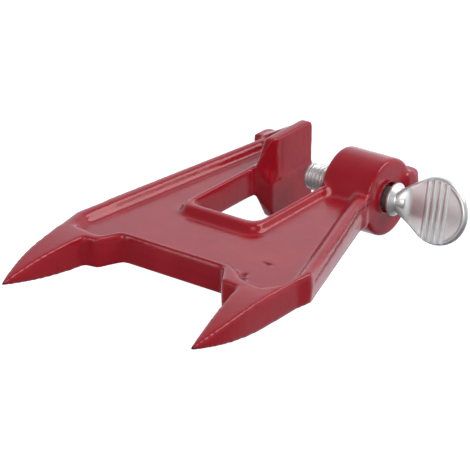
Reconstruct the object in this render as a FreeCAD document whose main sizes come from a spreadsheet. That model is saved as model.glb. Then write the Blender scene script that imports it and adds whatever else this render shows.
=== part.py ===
"""Stump vise for filing a saw chain: a cast frame with two spikes, and a thumbscrew that clamps the saw's bar.

Lengths are millimetres. The origin is where the screw's axis meets the fixed jaw's face, halfway through the
casting's thickness. +X runs from the fixed jaw to the thumb head, +Y runs away from the spikes, and +Z is up.
"""
import FreeCAD, Part
import math
import os

import Sketcher

# alias, size in millimetres or degrees, what it is
SIZES = [
    ("half_thickness", 5.4, "casting, parting plane to the top of its rims"),
    ("recess_depth", 3.0, "rim top down to the web, each side"),
    ("recess_draft", 30.0, "lean of the recess walls, degrees"),
    ("tip_y", -130.0, "ends of both spikes"),
    ("tip_half_width", 0.4, "blunt end of a spike, half its width"),
    ("tip_half_height", 0.35, "blunt end of a spike, half its height"),
    ("taper_start_y", -92.0, "where the spikes begin to thin towards their ends"),
    ("taper_lift", 0.05, "the taper's arc starts this far above the rim tops, to cross them cleanly"),
    ("spike_bow", 110.0, "radius of a spike's bowed outer edge"),
    ("left_tip_x", -20.6, "left spike's end"),
    ("left_root_x", -15.5, "left spike, inner edge at its root"),
    ("left_bow_x", -27.1, "left spike, where the outer edge starts to bow"),
    ("left_bow_y", -100.5, "left spike, where the outer edge starts to bow"),
    ("left_corner_x", -30.8, "left rail, outer corner at its near end"),
    ("left_corner_y", -81.3, "left rail, outer corner at its near end"),
    ("left_rail_far_x", -18.7, "left rail, outer edge at the pad"),
    ("right_tip_x", 54.8, "right spike's end"),
    ("right_root_x", 46.5, "right spike, inner edge at its root"),
    ("right_bow_x", 58.5, "right spike, where the outer edge starts to bow"),
    ("right_bow_y", -104.0, "right spike, where the outer edge starts to bow"),
    ("right_waist_x", 59.1, "right spike, outer edge below the rail's corner"),
    ("right_waist_y", -80.5, "right spike, outer edge below the rail's corner"),
    ("right_corner_x", 60.2, "right rail, outer corner at its near end"),
    ("right_corner_y", -74.0, "right rail, outer corner at its near end"),
    ("right_rail_far_x", 42.3, "right rail, outer edge beside the boss"),
    ("right_rail_far_y", -20.0, "right rail, outer edge beside the boss"),
    ("rail_end_run", 4.6, "right rail, straight end beside the boss, along Y"),
    ("bar_front_y", -86.1, "front face of the cross-bar between the spikes"),
    ("bar_left_x", -6.4, "cross-bar, left end of its front face"),
    ("bar_right_x", 33.9, "cross-bar, right end of its front face"),
    ("shoulder_step", 8.6, "how far the shoulders stand in front of the cross-bar"),
    ("left_slant", 4.4, "sideways run of the step up to the left shoulder"),
    ("right_slant", 5.6, "sideways run of the step up to the right shoulder"),
    ("shoulder_round", 1.6, "rounding at the shoulders"),
    ("root_drop", 0.6, "inner edge of a spike starts this far below its shoulder"),
    ("window_left_x", -4.6, "window, left side, and the back of the jaw plate"),
    ("window_right_x", 22.4, "window, right side"),
    ("window_near_y", -52.5, "window, near side"),
    ("window_round", 4.0, "window, corner radius"),
    ("jaw_top_z", 14.6, "fixed jaw, top"),
    ("jaw_bottom_z", -15.0, "fixed jaw, underside"),
    ("jaw_far_y", 12.2, "fixed jaw, far end"),
    ("jaw_near_top_y", -10.8, "fixed jaw, near end at its top"),
    ("jaw_foot_y", -16.3, "fixed jaw, near end at the rail"),
    ("jaw_face_near_y", -12.8, "fixed jaw, near end of the clamping face"),
    ("jaw_foot_round", 8.0, "fixed jaw, blend into the window's side"),
    ("jaw_round", 1.8, "fixed jaw, rounding of the far corners"),
    ("left_pad_x", -23.0, "left hammer pad, outer side"),
    ("left_pad_near_y", 7.7, "left hammer pad, near side"),
    ("left_pad_far_y", 16.4, "left hammer pad, struck face"),
    ("right_pad_x", 41.8, "right hammer pad, outer side"),
    ("right_pad_near_y", 8.5, "right hammer pad, near side beside the boss"),
    ("right_pad_far_y", 18.2, "right hammer pad, struck face"),
    ("pad_round", 2.6, "hammer pads, corner radius"),
    ("gusset_width", 5.0, "gusset behind the jaw, along Y"),
    ("gusset_mid_y", 10.5, "gusset behind the jaw, middle"),
    ("gusset_drop", 1.35, "gusset, short of the jaw's top and underside"),
    ("gusset_foot_x", -19.4, "gusset, where it reaches the rim tops"),
    ("boss_inner_x", 20.7, "screw boss, end towards the jaw"),
    ("boss_outer_x", 40.4, "screw boss, end towards the thumb head"),
    ("boss_radius", 13.7, "screw boss"),
    ("boss_round", 0.6, "screw boss, rounding of both ends"),
    ("left_rim", 3.1, "left rail, rim top width along X"),
    ("right_rim", 4.2, "right rail, rim top width along X"),
    ("window_side_rim", 2.2, "rim tops beside the window"),
    ("window_near_rim", 3.4, "rim top on the window's near side"),
    ("bar_rim", 1.9, "rim top along the cross-bar"),
    ("rim_flare", 1.2, "left rim top, widening at the rail's near end"),
    ("bar_end_rim", 2.4, "rim top past both ends of the cross-bar"),
    ("root_rim", 3.0, "rim top beside the inner root of each spike"),
    ("left_shoulder_rim", 3.2, "rim top along the left shoulder"),
    ("right_shoulder_rim", 5.0, "rim top along the right shoulder"),
    ("left_web_in", 6.5, "recess, left near corner, in from the rail's own corner"),
    ("left_web_ahead", 8.6, "recess, left near corner, in front of the rail's own corner"),
    ("right_web_in", 2.8, "recess, right outer corner, in from the rail's own corner"),
    ("right_web_ahead", 11.0, "recess, right outer corner, in front of the rail's own corner"),
    ("right_web_cut", 5.0, "recess, sideways run from its right outer corner to its front"),
    ("right_web_fall", 7.0, "recess, forward run from its right outer corner to its front"),
    ("recess_round", 0.9, "recess, smallest corner radius, down at the web"),
    ("thread_radius", 5.0, "screw, outside of its thread"),
    ("bore_clearance", 0.05, "boss bore over the screw, radial"),
    ("mouth_chamfer", 1.0, "chamfer at the bore's outer mouth"),
    ("point_x", 7.75, "screw's clamping end"),
    ("point_length", 1.2, "plain end of the screw ahead of its thread"),
    ("point_chamfer", 0.4, "chamfer round the clamping end"),
    ("point_gap", 0.05, "between the plain end and the threaded shank"),
    ("collar_x", 42.9, "collar, side towards the boss"),
    ("collar_radius", 5.85, "collar"),
    ("collar_edge", 1.1, "collar, thickness at its rim"),
    ("neck_x", 45.0, "neck, where the collar's dome ends"),
    ("neck_radius", 2.9, "neck"),
    ("neck_length", 3.4, "neck, run inside the thumb head"),
    ("head_x", 59.7, "thumb head, centre"),
    ("head_radius", 11.8, "thumb head"),
    ("head_thickness", 2.6, "thumb head"),
    ("head_turn", 78.6, "thumb head, turn about the screw's axis, degrees"),
    ("fan_root_half", 3.9, "thumb head, half its width at the neck"),
    ("fan_join", 8.7, "thumb head, centre back to where the round part starts"),
    ("ridge_count", 4.0, "grip ridges on each side of the head"),
    ("ridge_pitch", 2.4, "grip ridges, spacing"),
    ("ridge_width", 1.4, "grip ridges"),
    ("ridge_height", 0.45, "grip ridges, above the head's face"),
    ("ridge_first", -3.6, "first grip ridge, from the head's centre"),
    ("ridge_inset", 1.0, "grip ridges stop this far inside the head's edge"),
    ("overshoot", 1.0, "how far outlines run past what they cut, or into what they join"),
]

doc = FreeCAD.newDocument("stump_vise")
sheet = doc.addObject("Spreadsheet::Sheet", "Sizes")
for row, (alias, size, meaning) in enumerate(SIZES, start=1):
    sheet.set(f"A{row}", meaning)
    sheet.set(f"B{row}", str(size))
    sheet.setAlias(f"B{row}", alias)
doc.recompute()


def amount(expression):
    """The number that an expression on the sheet gives now."""
    return float(sheet.evalExpression(expression))


def named(text):
    """Turns [size] into the sheet's own name for it, so that formulas below stay short."""
    return text.replace("[", "Sizes.").replace("]", "")


class Corner:
    """One corner of an outline: its place as two formulas, with a rounding, or a bow in the run that leaves it."""

    def __init__(self, x, y, rounding=None, bow=None, inward=False):
        self.x = named(x)
        self.y = named(y)
        self.rounding = named(rounding) if rounding else None
        self.bow = named(bow) if bow else None
        self.inward = inward
        self.place = FreeCAD.Vector(amount(self.x), amount(self.y), 0)


def bind(sketch, constraint, expression):
    """Adds a dimension to the sketch and ties it to the sheet."""
    index = sketch.addConstraint(constraint)
    sketch.setExpression(f"Constraints[{index}]", expression)


def bowed_run(start, end, radius, inward):
    """An arc between two points. Seen along the run it bulges to the right, or to the left when inward."""
    chord = end - start
    reach = math.sqrt(radius ** 2 - (chord.Length / 2) ** 2)
    side = FreeCAD.Vector(-chord.y, chord.x, 0).normalize()
    centre = (start + end) * 0.5 + side * (-reach if inward else reach)
    first, last = (end, start) if inward else (start, end)
    angles = [math.atan2(p.y - centre.y, p.x - centre.x) for p in (first, last)]
    if angles[1] < angles[0]:
        angles[1] += 2 * math.pi
    circle = Part.Circle(centre, FreeCAD.Vector(0, 0, 1), radius)
    return Part.ArcOfCircle(circle, *angles)


def corner_arc(before, here, after, radius):
    """The arc that rounds a corner, its two tangent points, and whether the outline turns left there."""
    back = (before - here).normalize()
    ahead = (after - here).normalize()
    half_angle = back.getAngle(ahead) / 2
    reach = radius / math.tan(half_angle)
    centre = here + (back + ahead).normalize() * (radius / math.sin(half_angle))
    entry = here + back * reach
    leave = here + ahead * reach
    turns_left = (here - before).cross(after - here).z > 0
    first, last = (entry, leave) if turns_left else (leave, entry)
    angles = [math.atan2(p.y - centre.y, p.x - centre.x) for p in (first, last)]
    if angles[1] < angles[0]:
        angles[1] += 2 * math.pi
    circle = Part.Circle(centre, FreeCAD.Vector(0, 0, 1), radius)
    return Part.ArcOfCircle(circle, *angles), entry, leave, turns_left


def draw(sketch, corners):
    """Draws a closed outline, anticlockwise, with every corner, rounding and bow tied to the sheet."""
    count = len(corners)
    arcs = []
    for i, corner in enumerate(corners):
        if corner.rounding is None:
            arcs.append((None, corner.place, corner.place, True))
            continue
        before = corners[i - 1].place
        after = corners[(i + 1) % count].place
        arcs.append(corner_arc(before, corner.place, after, amount(corner.rounding)))
    runs = []
    for i, corner in enumerate(corners):
        start = arcs[i][2]
        end = arcs[(i + 1) % count][1]
        if corner.bow is None:
            index = sketch.addGeometry(Part.LineSegment(start, end), False)
            runs.append((index, 1, 2))
            continue
        shape = bowed_run(start, end, amount(corner.bow), corner.inward)
        index = sketch.addGeometry(shape, False)
        runs.append((index, 2, 1) if corner.inward else (index, 1, 2))
        bind(sketch, Sketcher.Constraint("Radius", index, amount(corner.bow)), corner.bow)
    for i, corner in enumerate(corners):
        run, run_start, _ = runs[i]
        previous, _, previous_end = runs[i - 1]
        arc, _, _, turns_left = arcs[i]
        if arc is None:
            sketch.addConstraint(Sketcher.Constraint("Coincident", previous, previous_end, run, run_start))
            point, position = run, run_start
        else:
            point = sketch.addGeometry(Part.Point(corner.place), True)
            position = 1
            index = sketch.addGeometry(arc, False)
            entry, leave = (1, 2) if turns_left else (2, 1)
            sketch.addConstraint(Sketcher.Constraint("PointOnObject", point, 1, previous))
            sketch.addConstraint(Sketcher.Constraint("PointOnObject", point, 1, run))
            sketch.addConstraint(Sketcher.Constraint("Tangent", previous, previous_end, index, entry))
            sketch.addConstraint(Sketcher.Constraint("Tangent", index, leave, run, run_start))
            radius = amount(corner.rounding)
            bind(sketch, Sketcher.Constraint("Radius", index, radius), corner.rounding)
        place = corner.place
        bind(sketch, Sketcher.Constraint("DistanceX", point, position, place.x), corner.x)
        bind(sketch, Sketcher.Constraint("DistanceY", point, position, place.y), corner.y)


def sketch_on(body, name, role, lift=None, turn=None):
    """A sketch on one of the body's origin planes, lifted along the plane's normal or turned about its X axis."""
    plane = [item for item in body.Origin.OriginFeatures if item.Role == role][0]
    sketch = body.newObject("Sketcher::SketchObject", name)
    sketch.AttachmentSupport = (plane, [""])
    sketch.MapMode = "FlatFace"
    if turn:
        sketch.AttachmentOffset = FreeCAD.Placement(
            FreeCAD.Vector(), FreeCAD.Rotation(FreeCAD.Vector(1, 0, 0), amount(named(turn)))
        )
        sketch.setExpression("AttachmentOffset.Rotation.Angle", named(turn))
    if lift:
        sketch.setExpression("AttachmentOffset.Base.z", named(lift))
    doc.recompute()
    return sketch


def feature(body, kind, name, sketch, length=None, **settings):
    """A pad or pocket of a sketch, its length tied to the sheet."""
    made = body.newObject(f"PartDesign::{kind}", name)
    made.Profile = sketch
    if length:
        made.setExpression("Length", named(length))
    for key, setting in settings.items():
        setattr(made, key, setting)
    doc.recompute()
    return made


def turned(body, kind, name, corners):
    """A Revolution or a Groove about the X axis. Its outline has X along the axis and Y outwards."""
    sketch = sketch_on(body, f"{name}_outline", "XZ_Plane")
    draw(sketch, corners)
    made = body.newObject(f"PartDesign::{kind}", name)
    made.Profile = sketch
    made.ReferenceAxis = (sketch, ["H_Axis"])
    made.Angle = 360
    doc.recompute()
    return made


def mirrored(body, name, original):
    """Repeats a feature on the other side of the parting plane."""
    plane = [item for item in body.Origin.OriginFeatures if item.Role == "XY_Plane"][0]
    made = body.newObject("PartDesign::Mirrored", name)
    made.Originals = [original]
    made.MirrorPlane = (plane, [""])
    body.Tip = made
    doc.recompute()
    return made


def new_body(name):
    body = doc.addObject("PartDesign::Body", name)
    body.Label = name
    body.Placement = FreeCAD.Placement()
    return body


def plate_outline():
    """The casting seen from above: two rails and a cross-bar round an open window, spikes, pads and jaw."""
    return [
        Corner("[left_corner_x]", "[left_corner_y]"),
        Corner("[left_bow_x]", "[left_bow_y]", bow="[spike_bow]"),
        Corner("[left_tip_x] - [tip_half_width]", "[tip_y]"),
        Corner("[left_tip_x] + [tip_half_width]", "[tip_y]"),
        Corner("[left_root_x]", "[bar_front_y] - [shoulder_step] - [root_drop]", "[shoulder_round]"),
        Corner("[bar_left_x] - [left_slant]", "[bar_front_y] - [shoulder_step]", "[shoulder_round]"),
        Corner("[bar_left_x]", "[bar_front_y]", "[shoulder_round]"),
        Corner("[bar_right_x]", "[bar_front_y]", "[shoulder_round]"),
        Corner("[bar_right_x] + [right_slant]", "[bar_front_y] - [shoulder_step]", "[shoulder_round]"),
        Corner("[right_root_x]", "[bar_front_y] - [shoulder_step] - [root_drop]", "[shoulder_round]"),
        Corner("[right_tip_x] - [tip_half_width]", "[tip_y]"),
        Corner("[right_tip_x] + [tip_half_width]", "[tip_y]", bow="[spike_bow]"),
        Corner("[right_bow_x]", "[right_bow_y]"),
        Corner("[right_waist_x]", "[right_waist_y]"),
        Corner("[right_corner_x]", "[right_corner_y]", "[shoulder_round]"),
        Corner("[right_rail_far_x]", "[right_rail_far_y]"),
        Corner("[right_rail_far_x]", "[right_rail_far_y] + [rail_end_run]", "[shoulder_round]"),
        Corner("[boss_outer_x]", "[right_rail_far_y] + [rail_end_run] + [right_rail_far_x] - [boss_outer_x]"),
        Corner("[boss_outer_x]", "[right_pad_near_y]"),
        Corner("[right_pad_x]", "[right_pad_near_y]"),
        Corner("[right_pad_x]", "[right_pad_far_y]", "[pad_round]"),
        Corner("[window_right_x]", "[right_pad_far_y]", "[pad_round]"),
        Corner("[window_right_x]", "[window_near_y]", "[window_round]"),
        Corner("[window_left_x]", "[window_near_y]", "[window_round]"),
        Corner("[window_left_x]", "[jaw_foot_y]", "[jaw_foot_round]"),
        Corner("0", "[jaw_face_near_y]"),
        Corner("0", "[jaw_far_y]"),
        Corner("[window_left_x]", "[jaw_far_y]"),
        Corner("[window_left_x]", "[left_pad_far_y]", "[pad_round]"),
        Corner("[left_pad_x]", "[left_pad_far_y]", "[pad_round]"),
        Corner("[left_pad_x]", "[left_pad_near_y]"),
        Corner("[left_rail_far_x]", "[left_pad_near_y]"),
    ]


def recess_outline():
    """The sunk web inside the rims: a U round the window, wider at the front where it fills the shoulders."""
    left_lean = "([left_rail_far_x] - [left_corner_x]) / ([left_pad_near_y] - [left_corner_y])"
    right_lean = "([right_rail_far_x] - [right_corner_x]) / ([right_rail_far_y] - [right_corner_y])"
    corner = "([recess_depth] * tan([recess_draft]) + [recess_round])"
    front = "[bar_front_y] + [bar_rim]"
    shoulder = "[bar_front_y] - [shoulder_step]"
    left_far_y = "[left_pad_near_y] - [left_rim]"
    left_far_x = f"[left_rail_far_x] + [left_rim] - {left_lean} * [left_rim]"
    boss_near = "[overshoot] - sqrt([boss_radius] ^ 2 - ([half_thickness] - [recess_depth]) ^ 2)"
    right_far_x = f"[right_rail_far_x] - [right_rim] + {right_lean} * ({boss_near} - [right_rail_far_y])"
    outer_x = "[right_corner_x] - [right_web_in]"
    outer_y = "[right_corner_y] - [right_web_ahead]"
    return [
        Corner("[left_corner_x] + [left_rim] + [rim_flare]", "[left_corner_y]", corner),
        Corner("[left_corner_x] + [left_web_in]", "[left_corner_y] - [left_web_ahead]", corner),
        Corner("[left_root_x] + [root_rim]", f"{shoulder} + [left_shoulder_rim]", corner),
        Corner("[bar_left_x] - [bar_end_rim]", front, corner),
        Corner("[bar_right_x] + [bar_end_rim]", front, corner),
        Corner("[right_root_x] - [root_rim]", f"{shoulder} + [right_shoulder_rim]", corner),
        Corner(f"{outer_x} - [right_web_cut]", f"{outer_y} - [right_web_fall]", corner),
        Corner(outer_x, outer_y, corner),
        Corner(outer_x, "[right_corner_y] - [right_web_in]", corner),
        Corner(right_far_x, boss_near),
        Corner("[window_right_x] + [window_side_rim]", boss_near),
        Corner("[window_right_x] + [window_side_rim]", "[window_near_y] - [window_near_rim]", "[window_round]"),
        Corner("[window_left_x] - [window_side_rim]", "[window_near_y] - [window_near_rim]", "[window_round]"),
        Corner("[window_left_x] - [window_side_rim]", left_far_y, corner),
        Corner(left_far_x, left_far_y, corner),
    ]


def thin_the_spikes(body):
    """Cuts the spikes thinner towards their ends, above and below, along an arc that leaves the rim tops level."""
    start = "([half_thickness] + [taper_lift])"
    fall = f"({start} - [tip_half_height])"
    radius = f"(([taper_start_y] - [tip_y]) ^ 2 + {fall} ^ 2) / (2 * {fall})"
    sketch = sketch_on(body, "spike_taper_outline", "YZ_Plane")
    draw(sketch, [
        Corner("[taper_start_y]", start),
        Corner("[taper_start_y]", "[half_thickness] * 2"),
        Corner("[tip_y] - [half_thickness]", "[half_thickness] * 2"),
        Corner("[tip_y] - [half_thickness]", "[tip_half_height]"),
        Corner("[tip_y]", "[tip_half_height]", bow=radius, inward=True),
    ])
    draw(sketch, [
        Corner("[taper_start_y]", f"-{start}", bow=radius, inward=True),
        Corner("[tip_y]", "-[tip_half_height]"),
        Corner("[tip_y] - [half_thickness]", "-[tip_half_height]"),
        Corner("[tip_y] - [half_thickness]", "-[half_thickness] * 2"),
        Corner("[taper_start_y]", "-[half_thickness] * 2"),
    ])
    feature(body, "Pocket", "spike_taper", sketch, "2 * ([right_corner_x] - [left_corner_x])", Midplane=True)


def frame_casting():
    """The whole red casting, one piece."""
    body = new_body("frame_casting")
    sketch = sketch_on(body, "plate_outline", "XY_Plane")
    draw(sketch, plate_outline())
    feature(body, "Pad", "plate", sketch, "2 * [half_thickness]", Midplane=True)
    thin_the_spikes(body)

    sketch = sketch_on(body, "recess_outline", "XY_Plane", lift="[half_thickness]")
    draw(sketch, recess_outline())
    recess = feature(body, "Pocket", "recess", sketch, "[recess_depth]")
    recess.setExpression("TaperAngle", named("-[recess_draft]"))
    doc.recompute()
    mirrored(body, "recess_below", recess)

    sketch = sketch_on(body, "jaw_outline", "YZ_Plane")
    draw(sketch, [
        Corner("[jaw_near_top_y]", "[jaw_bottom_z]", "[jaw_round]"),
        Corner("[jaw_far_y]", "[jaw_bottom_z]", "[jaw_round]"),
        Corner("[jaw_far_y]", "[jaw_top_z]", "[jaw_round]"),
        Corner("[jaw_near_top_y]", "[jaw_top_z]", "[jaw_round]"),
        Corner("[jaw_foot_y]", "[half_thickness]"),
        Corner("[jaw_foot_y]", "-[half_thickness]"),
    ])
    feature(body, "Pad", "jaw_plate", sketch, "-[window_left_x]", Reversed=True)
    sketch = sketch_on(body, "jaw_ramp_outline", "XY_Plane")
    draw(sketch, [
        Corner("[window_left_x]", "[jaw_foot_y] - [overshoot]"),
        Corner("[overshoot]", "[jaw_foot_y] - [overshoot]"),
        Corner("[overshoot]", "[jaw_face_near_y]"),
        Corner("0", "[jaw_face_near_y]"),
        Corner("[window_left_x]", "[jaw_foot_y]"),
    ])
    feature(body, "Pocket", "jaw_ramp", sketch, "2 * ([jaw_top_z] - [jaw_bottom_z])", Midplane=True)

    sketch = sketch_on(body, "gusset_outline", "XZ_Plane", lift="-[gusset_mid_y]")
    draw(sketch, [
        Corner("[gusset_foot_x]", "-[half_thickness]"),
        Corner("[window_left_x]", "[jaw_bottom_z] + [gusset_drop]"),
        Corner("[window_left_x]", "[jaw_top_z] - [gusset_drop]"),
        Corner("[gusset_foot_x]", "[half_thickness]"),
    ])
    feature(body, "Pad", "gusset", sketch, "[gusset_width]", Midplane=True)

    turned(body, "Revolution", "boss", [
        Corner("[boss_inner_x]", "0"),
        Corner("[boss_outer_x]", "0"),
        Corner("[boss_outer_x]", "[boss_radius]", "[boss_round]"),
        Corner("[boss_inner_x]", "[boss_radius]", "[boss_round]"),
    ])
    bore = "[thread_radius] + [bore_clearance]"
    turned(body, "Groove", "bore", [
        Corner("[boss_inner_x] - [overshoot]", "0"),
        Corner("[boss_outer_x] + [overshoot]", "0"),
        Corner("[boss_outer_x] + [overshoot]", f"{bore} + [mouth_chamfer] + [overshoot]"),
        Corner("[boss_outer_x] - [mouth_chamfer]", bore),
        Corner("[boss_inner_x] - [overshoot]", bore),
    ])
    return body


def thumb_screw():
    """Threaded shank, domed collar, neck and round ridged head, forged in one piece."""
    body = new_body("thumb_screw")
    shank_start = "[point_x] + [point_length] + [point_gap]"
    turned(body, "Revolution", "shank_and_collar", [
        Corner(shank_start, "0"),
        Corner("[neck_x] + [neck_length]", "0"),
        Corner("[neck_x] + [neck_length]", "[neck_radius]"),
        Corner("[neck_x]", "[neck_radius]"),
        Corner("[collar_x] + [collar_edge]", "[collar_radius]"),
        Corner("[collar_x]", "[collar_radius]"),
        Corner("[collar_x]", "[thread_radius]"),
        Corner(shank_start, "[thread_radius]"),
    ])
    join_half = "sqrt([head_radius] ^ 2 - [fan_join] ^ 2)"
    sketch = sketch_on(body, "head_outline", "XY_Plane", turn="[head_turn]")
    draw(sketch, [
        Corner("[neck_x]", "-[fan_root_half]"),
        Corner("[head_x] - [fan_join]", f"-{join_half}", bow="[head_radius]"),
        Corner("[head_x] + [head_radius]", "0", bow="[head_radius]"),
        Corner("[head_x] - [fan_join]", join_half),
        Corner("[neck_x]", "[fan_root_half]"),
    ])
    feature(body, "Pad", "head", sketch, "[head_thickness]", Midplane=True)
    sketch = sketch_on(body, "ridge_outlines", "XY_Plane", turn="[head_turn]")
    for number in range(round(amount("Sizes.ridge_count"))):
        middle = f"([ridge_first] + {number} * [ridge_pitch])"
        side = f"(abs({middle}) + [ridge_width] / 2)"
        half = f"(sqrt([head_radius] ^ 2 - {side} ^ 2) - [ridge_inset])"
        draw(sketch, [
            Corner(f"[head_x] + {middle} - [ridge_width] / 2", f"-{half}"),
            Corner(f"[head_x] + {middle} + [ridge_width] / 2", f"-{half}"),
            Corner(f"[head_x] + {middle} + [ridge_width] / 2", half),
            Corner(f"[head_x] + {middle} - [ridge_width] / 2", half),
        ])
    feature(body, "Pad", "ridges", sketch, "[head_thickness] + 2 * [ridge_height]", Midplane=True)
    return body


def screw_point():
    """The plain end of the screw, which presses on what is clamped."""
    body = new_body("screw_point")
    turned(body, "Revolution", "plain_end", [
        Corner("[point_x]", "0"),
        Corner("[point_x] + [point_length]", "0"),
        Corner("[point_x] + [point_length]", "[thread_radius] - [point_chamfer]"),
        Corner("[point_x] + [point_chamfer]", "[thread_radius] - [point_chamfer]"),
        Corner("[point_x]", "[thread_radius] - 2 * [point_chamfer]"),
    ])
    return body


def write_parts(bodies):
    """Stops on anything failed or open, then writes one STEP file for each body, named after its label."""
    failed = [item.Label for item in doc.Objects if "Invalid" in item.State or "Error" in item.State]
    if failed:
        raise SystemExit(f"these did not build: {failed}")
    for body in bodies:
        shape = body.Shape
        if shape.isNull() or not shape.isValid() or len(shape.Solids) != 1:
            raise SystemExit(f"{body.Label} is not one closed solid")
    os.makedirs("parts", exist_ok=True)
    for body in bodies:
        body.Shape.exportStep(f"parts/{body.Label}.step")
        print(body.Label, round(body.Shape.Volume, 1), "cubic mm")


made_bodies = [frame_casting(), thumb_screw(), screw_point()]
doc.recompute()
write_parts(made_bodies)
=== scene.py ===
# %% [markdown]
# # A stump vise for filing a saw chain
# The real tool is two pieces. One is an iron casting with two spikes that are hammered into a stump, painted
# in red enamel. The other is a zinc-plated thumbscrew that presses the saw's bar against the casting's jaw.
# This lesson loads the measured model, then gives each piece the softness, marks and finish of the real one.

# %% Load the measured model
import math

import bmesh
import bpy
import numpy as np
from mathutils import Matrix, Vector


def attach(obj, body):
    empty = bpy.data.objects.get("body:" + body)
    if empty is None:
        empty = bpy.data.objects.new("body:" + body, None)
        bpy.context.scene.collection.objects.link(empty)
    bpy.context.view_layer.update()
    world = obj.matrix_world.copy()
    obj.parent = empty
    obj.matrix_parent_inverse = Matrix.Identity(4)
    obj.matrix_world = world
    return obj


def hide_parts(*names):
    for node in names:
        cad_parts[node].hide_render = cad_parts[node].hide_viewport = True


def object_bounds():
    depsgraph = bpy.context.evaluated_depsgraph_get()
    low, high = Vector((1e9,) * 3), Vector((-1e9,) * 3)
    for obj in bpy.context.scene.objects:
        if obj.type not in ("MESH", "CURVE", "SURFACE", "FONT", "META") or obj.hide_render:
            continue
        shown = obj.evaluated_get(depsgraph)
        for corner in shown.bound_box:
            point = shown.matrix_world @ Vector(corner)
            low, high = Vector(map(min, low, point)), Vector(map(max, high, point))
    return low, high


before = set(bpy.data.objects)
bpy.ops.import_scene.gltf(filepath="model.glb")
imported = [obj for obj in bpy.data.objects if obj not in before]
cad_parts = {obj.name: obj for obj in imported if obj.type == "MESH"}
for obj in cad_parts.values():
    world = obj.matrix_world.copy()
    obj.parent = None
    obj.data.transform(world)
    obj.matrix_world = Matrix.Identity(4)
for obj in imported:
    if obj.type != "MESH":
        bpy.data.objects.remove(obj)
CAD_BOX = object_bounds()
MM = 0.001
scene = bpy.context.scene
print("loaded", sorted(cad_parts), "box", CAD_BOX)

# %% [markdown]
# ## Where we look from
# A long lens from well away keeps the rails nearly parallel, as in a catalogue. The camera stands in
# front and to the right, about 25 degrees up. Its direction is built from the two angles, so that either can
# be changed alone.

# %% Camera
def look_from(azimuth, elevation):
    """Unit vector from the subject to the camera. Azimuth 0 looks along +Y."""
    a = math.radians(azimuth)
    e = math.radians(elevation)
    return Vector((math.sin(a) * math.cos(e), -math.cos(a) * math.cos(e), math.sin(e)))


TOWARDS_CAMERA = look_from(azimuth=36.55, elevation=24.65)
CAMERA_DISTANCE = 0.858
LOOKED_AT = Vector((0.01634, -0.05594, 0))
camera_data = bpy.data.cameras.new("camera")
camera_data.sensor_width = 36
camera_data.lens = 199.15
camera_data.clip_start = 0.05
camera_data.clip_end = 20
camera = bpy.data.objects.new("camera", camera_data)
camera.location = LOOKED_AT + TOWARDS_CAMERA * CAMERA_DISTANCE
camera.rotation_euler = TOWARDS_CAMERA.to_track_quat("Z", "Y").to_euler()
scene.collection.objects.link(camera)
scene.camera = camera
scene.view_settings.view_transform = "Standard"
print("camera at", [round(v, 3) for v in camera.location])

# %% [markdown]
# ## Small helpers for building node trees
# Materials, shader groups and geometry trees are all made of nodes and links. `add` makes a node, sets its
# plain properties by name, and fills its input sockets: a socket of another node is linked, anything else is
# typed in.

# %% Node helper
def add(tree, kind, inputs=None, **properties):
    """Adds a node. inputs maps a socket's name or number to a value or to another node's output."""
    node = tree.nodes.new(kind)
    for name, setting in properties.items():
        setattr(node, name, setting)
    for key, value in (inputs or {}).items():
        if isinstance(value, bpy.types.NodeSocket):
            tree.links.new(value, node.inputs[key])
        else:
            node.inputs[key].default_value = value
    return node


def math_node(tree, operation, first, second=0.0, third=0.0, clamp=False):
    """One Math node, and its result."""
    node = add(tree, "ShaderNodeMath", {0: first, 1: second, 2: third}, operation=operation, use_clamp=clamp)
    return node.outputs[0]


def new_material(name):
    """A material, its node tree and its Principled shader."""
    material = bpy.data.materials.new(name)
    material.use_nodes = True
    return material, material.node_tree, material.node_tree.nodes["Principled BSDF"]


# %% [markdown]
# ## A pale floor and a soft studio
# Glossy enamel shows what is around it, so the surroundings matter as much as the lamps. A product is usually
# shot against a lit white sweep with the room behind the camera kept dim. The world here is that room: bright
# on the far side, fading towards the near side, and dimmer below. The floor is pale and catches a faint
# shadow.

# %% World
def fade(tree, value, span, brightness):
    """Eases from the first brightness to the second while the value crosses the span."""
    sockets = {0: value, 1: span[0], 2: span[1], 3: brightness[0], 4: brightness[1]}
    return add(tree, "ShaderNodeMapRange", sockets, interpolation_type="SMOOTHSTEP").outputs[0]


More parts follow.
